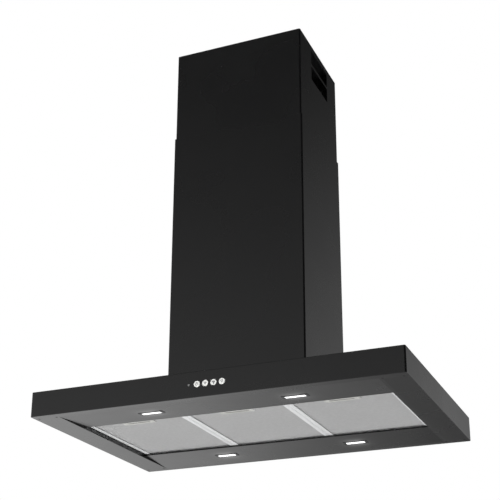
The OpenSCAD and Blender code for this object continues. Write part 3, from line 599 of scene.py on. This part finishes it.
alloy, tree, shader = new_material("satin aluminium", Metallic=0.2)
lines = place_group(tree, brushed, Along_X=1, Along_Y=0.03, Along_Z=1, Scale=900)
vary_finish(tree, shader, lines.outputs["Lines"], (0.58, 0.585, 0.59), (0.70, 0.705, 0.71),
            lines.outputs["Lines"], 0.42, 0.58)
raise_surface(tree, shader, lines.outputs["Lines"], 0.00001)

latch_alloy, tree, shader = new_material("lacquered latch plate", Metallic=0.1)
lines = place_group(tree, brushed, Along_X=0.03, Along_Y=1, Along_Z=1, Scale=900)
vary_finish(tree, shader, lines.outputs["Lines"], (0.41, 0.41, 0.39), (0.48, 0.48, 0.46),
            lines.outputs["Lines"], 0.45, 0.6)

mesh_alloy, tree, shader = new_material("expanded aluminium", Metallic=0.1)
lines = place_group(tree, brushed, Along_X=1, Along_Y=1, Along_Z=1, Scale=500)
clean = blend_colours(tree, lines.outputs["Lines"], (0.405, 0.405, 0.405), (0.52, 0.52, 0.52))
crumple = place_group(tree, peel, Grain_Scale=1200, Cloud_Scale=120)
duller = between(tree, crumple.outputs["Cloud"], -0.35, 0.75)
vary_finish(tree, shader, duller, clean, (0.368, 0.368, 0.368), lines.outputs["Lines"], 0.5, 0.72)


def in_latch_room(place):
    """Where the latch plate's pocket takes the place of the mesh."""
    middle = (mesh_low.x + mesh_high.x) / 2
    return abs(place.x - middle) < latch_room / 2 and place.y < latch_room_back


def mesh_layer(pitch_x, pitch_y, level):
    """A flat grid in the filter's rim, without the latch plate's room; it stays in edit mode."""
    bpy.ops.object.select_all(action="DESELECT")
    wide = mesh_high.x - mesh_low.x
    deep = mesh_high.y - mesh_low.y
    centre = ((mesh_low.x + mesh_high.x) / 2, (mesh_low.y + mesh_high.y) / 2, level)
    bpy.ops.mesh.primitive_grid_add(x_subdivisions=round(wide / pitch_x),
                                    y_subdivisions=round(deep / pitch_y), size=1, location=centre)
    layer = bpy.context.object
    layer.scale = (wide, deep, 1)
    bpy.ops.object.transform_apply(location=True, rotation=True, scale=True)
    bpy.ops.object.mode_set(mode="EDIT")
    bpy.ops.mesh.select_mode(type="FACE")
    bpy.ops.mesh.select_all(action="DESELECT")
    grid = bmesh.from_edit_mesh(layer.data)
    for face in grid.faces:
        face.select = in_latch_room(face.calc_center_median())
    grid.select_flush(True)
    bmesh.update_edit_mesh(layer.data)
    bpy.ops.mesh.delete(type="FACE")
    return layer


def on_grid(edge):
    """The inner edges of the plain grid, which the diamonds leave out."""
    first, last = (end.co for end in edge.verts)
    return not edge.is_boundary and min(abs(first.x - last.x), abs(first.y - last.y)) < touching


# slit and stretched sheet: diamond cells between flat strands
lattice = mesh_layer(mesh_pitch_x, mesh_pitch_y, strand_level)
bpy.ops.mesh.select_all(action="SELECT")
bpy.ops.mesh.poke()
select_edges(lattice, on_grid)
bpy.ops.mesh.dissolve_edges(use_verts=False)
bpy.ops.object.mode_set(mode="OBJECT")
apply_modifier(lattice, "WIREFRAME", thickness=mesh_strand, use_even_offset=False)
to_level = Matrix.Translation((0, 0, strand_level))
lattice.data.transform(to_level @ Matrix.Scale(strand_flatness, 4, (0, 0, 1)) @ to_level.inverted())

# the layers behind it, one sheet low down and one at the top
layers = [lattice]
for level in (backing_level, cover_level):
    layers.append(mesh_layer(backing_pitch_x, backing_pitch_y, level))
    bpy.ops.object.mode_set(mode="OBJECT")
    apply_modifier(layers[-1], "SOLIDIFY", thickness=sheet_thickness, offset=0)
pick_only(*layers)
bpy.ops.object.join()
lattice.name = "filter_lattice_left"


def moved_copy(piece, name, x=0.0, y=0.0, z=0.0):
    """A copy of the piece with its own mesh, moved by so much."""
    made = piece.copy()
    made.data = piece.data.copy()
    made.name = name
    made.data.transform(Matrix.Translation((x, y, z)))
    bpy.context.scene.collection.objects.link(made)
    return made


lattices = {"left": lattice,
            "middle": moved_copy(lattice, "filter_lattice_middle", x=filter_pitch),
            "right": moved_copy(lattice, "filter_lattice_right", x=2 * filter_pitch)}


def on_filter_outline(edge):
    """The outer edges of a filter's rim, but not those of its mesh opening."""
    return all(min(end.co.y - filter_low.y, filter_high.y - end.co.y) < touching
               or (end.co.x - filter_low.x) % filter_pitch < touching
               or (filter_high.x - end.co.x) % filter_pitch < touching
               for end in edge.verts)


for side, piece in lattices.items():
    finish_piece(piece, mesh_alloy, "filter_" + side, "filter_aluminium", "filter_mesh_" + side)
    rim = folded_copy("filter_frame_" + side, alloy, radius=0.0008, segments=3, bent=on_filter_outline)
    rim.data.materials.append(latch_alloy)
    # the lacquered plate is marked off from the bare rim on both sides of the latch
    low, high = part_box("filter_frame_" + side)
    middle = (low.x + high.x) / 2
    pick_only(rim)
    bpy.ops.object.mode_set(mode="EDIT")
    for across in (middle - plate_half, middle + plate_half):
        bpy.ops.mesh.select_all(action="SELECT")
        bpy.ops.mesh.bisect(plane_co=(across, 0, 0), plane_no=(1, 0, 0))
    bpy.ops.mesh.select_all(action="SELECT")
    bpy.ops.mesh.bisect(plane_co=(0, latch_room_back, 0), plane_no=(0, 1, 0))
    bpy.ops.object.mode_set(mode="OBJECT")
    for face in rim.data.polygons:
        if abs(face.center.x - middle) < plate_half and face.center.y < latch_room_back:
            face.material_index = 1
    dress(latch_alloy, "filter_latch_" + side)

# ---- Lamps ----
# Four flat lamps: a dark moulded bezel clipped in the sloping panel, round a
# white ribbed lens that is lit.
lens_length = 0.0478
lens_width = 0.0138
lens_depth = 0.0018
lens_ribs = 24
rib_height = 0.0001
bezel_edge = 0.0012
panel_rise = 0.006
panel_run = 0.127
panel_slope = math.atan2(panel_rise, panel_run)

lit_lens, tree, shader = new_material("lit lens", Roughness=0.3, Base_Color=(0.9, 0.9, 0.9, 1))
shader.inputs["Emission Color"].default_value = (1, 1, 1, 1)
shader.inputs["Emission Strength"].default_value = 0.95


def on_bezel(edge):
    """The edges of the bezel's flat plate, which is wider than the lamp's body."""
    return all(end.co.x < low.x + bezel_edge or end.co.x > high.x - bezel_edge or
               end.co.y < low.y + bezel_edge or end.co.y > high.y - bezel_edge for end in edge.verts)


# one lens, flat and centred on the origin, its ribs facing down
bpy.ops.object.select_all(action="DESELECT")
bpy.ops.mesh.primitive_grid_add(x_subdivisions=lens_ribs * 2, y_subdivisions=1, size=1)
lens = bpy.context.object
lens.scale = (lens_length, lens_width, 1)
bpy.ops.object.transform_apply(scale=True)
bpy.ops.object.mode_set(mode="EDIT")
bpy.ops.mesh.select_mode(type="VERT")
bpy.ops.mesh.select_all(action="DESELECT")
ribs = bmesh.from_edit_mesh(lens.data)
for corner in ribs.verts:
    corner.select = round((corner.co.x / lens_length + 0.5) * lens_ribs * 2) % 2 == 1
ribs.select_flush(True)
bmesh.update_edit_mesh(lens.data)
bpy.ops.transform.translate(value=(0, 0, -rib_height))
bpy.ops.mesh.select_all(action="SELECT")
bpy.ops.mesh.extrude_region_move(TRANSFORM_OT_translate={"value": (0, 0, lens_depth)})
bpy.ops.mesh.select_all(action="SELECT")
bpy.ops.mesh.normals_make_consistent(inside=False)
bpy.ops.object.mode_set(mode="OBJECT")

for end, away in (("front", -1), ("rear", 1)):
    for side in ("left", "right"):
        place = f"{end}_{side}"
        low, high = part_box("lamp_housing_" + place)
        folded_copy("lamp_housing_" + place, dark_moulding, radius=0.0003, segments=2, bent=on_bezel)
        lit = moved_copy(lens, "ribbed_lens_" + place)
        seat_low, seat_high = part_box("lamp_lens_" + place)
        seat = (seat_low + seat_high) / 2
        tilt = Matrix.Rotation(-away * panel_slope, 4, "X")
        lit.data.transform(Matrix.Translation((seat.x, seat.y, seat.z - lens_depth / 2)) @ tilt)
        finish_piece(lit, lit_lens, "hood", "lamp_lens", "lamp_lens_" + place)
bpy.data.objects.remove(lens)

# ---- Push buttons ----
# Four round white moulded buttons with a shallow dish and a grey printed sign,
# each pressed by itself, and a small smoked indicator light to their left.
sign_width = 0.0009
sign_proud = 0.00004
sign_start = 0.002

sign_ink = moulded("grey printing ink", (0.10, 0.10, 0.105), (0.13, 0.13, 0.135), 0.5)
smoked = moulded("smoked indicator", (0.15, 0.15, 0.15), (0.19, 0.19, 0.19), 0.3)
dress(smoked, "indicator_light")


def ring_of_ink(middle, width):
    """A flat ring, its middle this far above the centre of the sign."""
    bpy.ops.object.select_all(action="DESELECT")
    bpy.ops.mesh.primitive_circle_add(vertices=32, radius=width / 2, fill_type="NGON")
    ring = bpy.context.object
    bpy.ops.object.mode_set(mode="EDIT")
    bpy.ops.mesh.select_all(action="SELECT")
    bpy.ops.mesh.inset(thickness=sign_width)
    bpy.ops.mesh.delete(type="FACE")
    bpy.ops.object.mode_set(mode="OBJECT")
    ring.data.transform(Matrix.Translation((0, middle, 0)))
    return ring


def bar_of_ink(middle, size, turned=0.0):
    """A flat bar, its middle this far above the centre of the sign and then turned about it."""
    bpy.ops.object.select_all(action="DESELECT")
    bpy.ops.mesh.primitive_plane_add(size=1)
    bar = bpy.context.object
    bar.data.transform(Matrix.Diagonal((*size, 1, 1)))
    bar.data.transform(Matrix.Rotation(turned, 4, "Z") @ Matrix.Translation((0, middle, 0)))
    return bar


def sign(name, button, parts):
    """Joins the parts, lays them on the dish of the button's cap and lets them ride on it."""
    low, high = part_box(button)
    before_cap = Vector(((low.x + high.x) / 2, low.y - sign_start, (low.z + high.z) / 2))
    pick_only(*parts)
    if len(parts) > 1:
        bpy.ops.object.join()
    made = parts[0]
    made.name = name
    upright = Matrix.Rotation(math.pi / 2, 4, "X")
    made.data.transform(Matrix.Translation(before_cap) @ upright)
    apply_modifier(made, "SUBSURF", subdivision_type="SIMPLE", levels=2, render_levels=2)
    apply_modifier(made, "SHRINKWRAP", target=nodes[button], wrap_method="PROJECT", use_project_y=True,
                   use_positive_direction=True, use_negative_direction=True,
                   wrap_mode="ABOVE_SURFACE", offset=sign_proud)
    finish_piece(made, sign_ink, button, "dark_plastic")


def fan_blades(middle, size):
    """Three bars set like a fan's blades, their middles this far from the hub."""
    return [bar_of_ink(middle, size, turned=third * math.tau / 3) for third in (0.5, 1.5, 2.5)]


for button in ("power_button", "low_speed_button", "high_speed_button", "light_button"):
    folded_copy(button, white_moulding)

sign("power_sign", "power_button", [ring_of_ink(0, 0.0068), bar_of_ink(0.0024, (sign_width, 0.0036))])
sign("low_speed_sign", "low_speed_button", fan_blades(0.0015, (0.0017, 0.0022)))
sign("high_speed_sign", "high_speed_button", fan_blades(0.0021, (0.0026, 0.0034)))
sign("light_sign", "light_button", [ring_of_ink(0.0008, 0.0052), bar_of_ink(-0.0029, (0.0026, sign_width))])

# ---- Cover and flange screws ----
# Black oxide steel screws with a crossed recess: eight from below at the ends
# of the light panels, and those that hold the upper cover to its bracket.
head_radius = 0.0028
head_depth = 0.0007
head_edge = 0.0003
shank_radius = 0.0015
shank_length = 0.0045
slot_length = 0.0036
slot_width = 0.0009
slot_height = 0.0010
slot_turn = 0.4
screw_reach = 0.01

black_oxide, tree, shader = new_material("black oxide", IOR=1.5)
worn = place_group(tree, peel, Grain_Scale=2400, Cloud_Scale=700)
vary_finish(tree, shader, worn.outputs["Cloud"], (0.010, 0.010, 0.010), (0.024, 0.024, 0.024),
            worn.outputs["Grain"], 0.4, 0.6)

# one screw on the origin, its head facing down and its shank up
bpy.ops.object.select_all(action="DESELECT")
bpy.ops.mesh.primitive_cylinder_add(vertices=32, radius=head_radius, depth=head_depth)
screw = bpy.context.object
select_edges(screw, lambda edge: all(end.co.z < 0 for end in edge.verts))
bpy.ops.mesh.bevel(offset=head_edge, segments=3, profile=0.5)
bpy.ops.mesh.select_mode(type="FACE")
bpy.ops.mesh.select_all(action="DESELECT")
# the shank rises from the head's flat back
shape = bmesh.from_edit_mesh(screw.data)
for face in shape.faces:
    face.select = face.normal.z > 0.9
bmesh.update_edit_mesh(screw.data)
bpy.ops.mesh.inset(thickness=head_radius - shank_radius)
bpy.ops.mesh.extrude_region_move(TRANSFORM_OT_translate={"value": (0, 0, shank_length)})
bpy.ops.object.mode_set(mode="OBJECT")
for turned in (0, math.pi / 2):
    bpy.ops.object.select_all(action="DESELECT")
    bpy.ops.mesh.primitive_cube_add(size=1, rotation=(0, 0, turned + slot_turn))
    slot_cutter = bpy.context.object
    slot_cutter.scale = (slot_length, slot_width, slot_height)
    bpy.ops.object.transform_apply(location=False, rotation=True, scale=True)
    slot_cutter.data.transform(Matrix.Translation((0, 0, -0.5 * head_depth)))
    apply_modifier(screw, "BOOLEAN", object=slot_cutter, operation="DIFFERENCE")
    bpy.data.objects.remove(slot_cutter)
pick_only(screw)
bpy.ops.object.shade_smooth_by_angle(angle=smooth_angle)


def screw_places(node, axis, end):
    """The middles of a CAD node's screws, from the points at one end of its box."""
    heads = []
    for corner in nodes[node].data.vertices:
        if abs(corner.co[axis] - end) < touching:
            near = next((head for head in heads if (head[0] - corner.co).length < screw_reach), None)
            if near:
                near.append(corner.co)
            else:
                heads.append([corner.co])
    return [Vector([(min(co[i] for co in head) + max(co[i] for co in head)) / 2 for i in range(3)])
            for head in heads]


def seat_screws(node, axis, end, facing):
    """One turned copy of the screw at each place of a CAD node, joined in one piece."""
    made = []
    for place in screw_places(node, axis, end):
        made.append(moved_copy(screw, node + "_heads", z=head_depth / 2))
        made[-1].data.transform(Matrix.Translation(place) @ facing)
    pick_only(*made)
    bpy.ops.object.join()
    finish_piece(made[0], black_oxide, body_of(node), slot_of(node), node)


head_down = Matrix()
head_back = Matrix.Rotation(math.pi / 2, 4, "X")
seat_screws("flange_screws", 2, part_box("flange_screws")[0].z, head_down)
seat_screws("upper_cover_screws", 1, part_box("upper_cover_screws")[1].y, head_back)
bpy.data.objects.remove(screw)
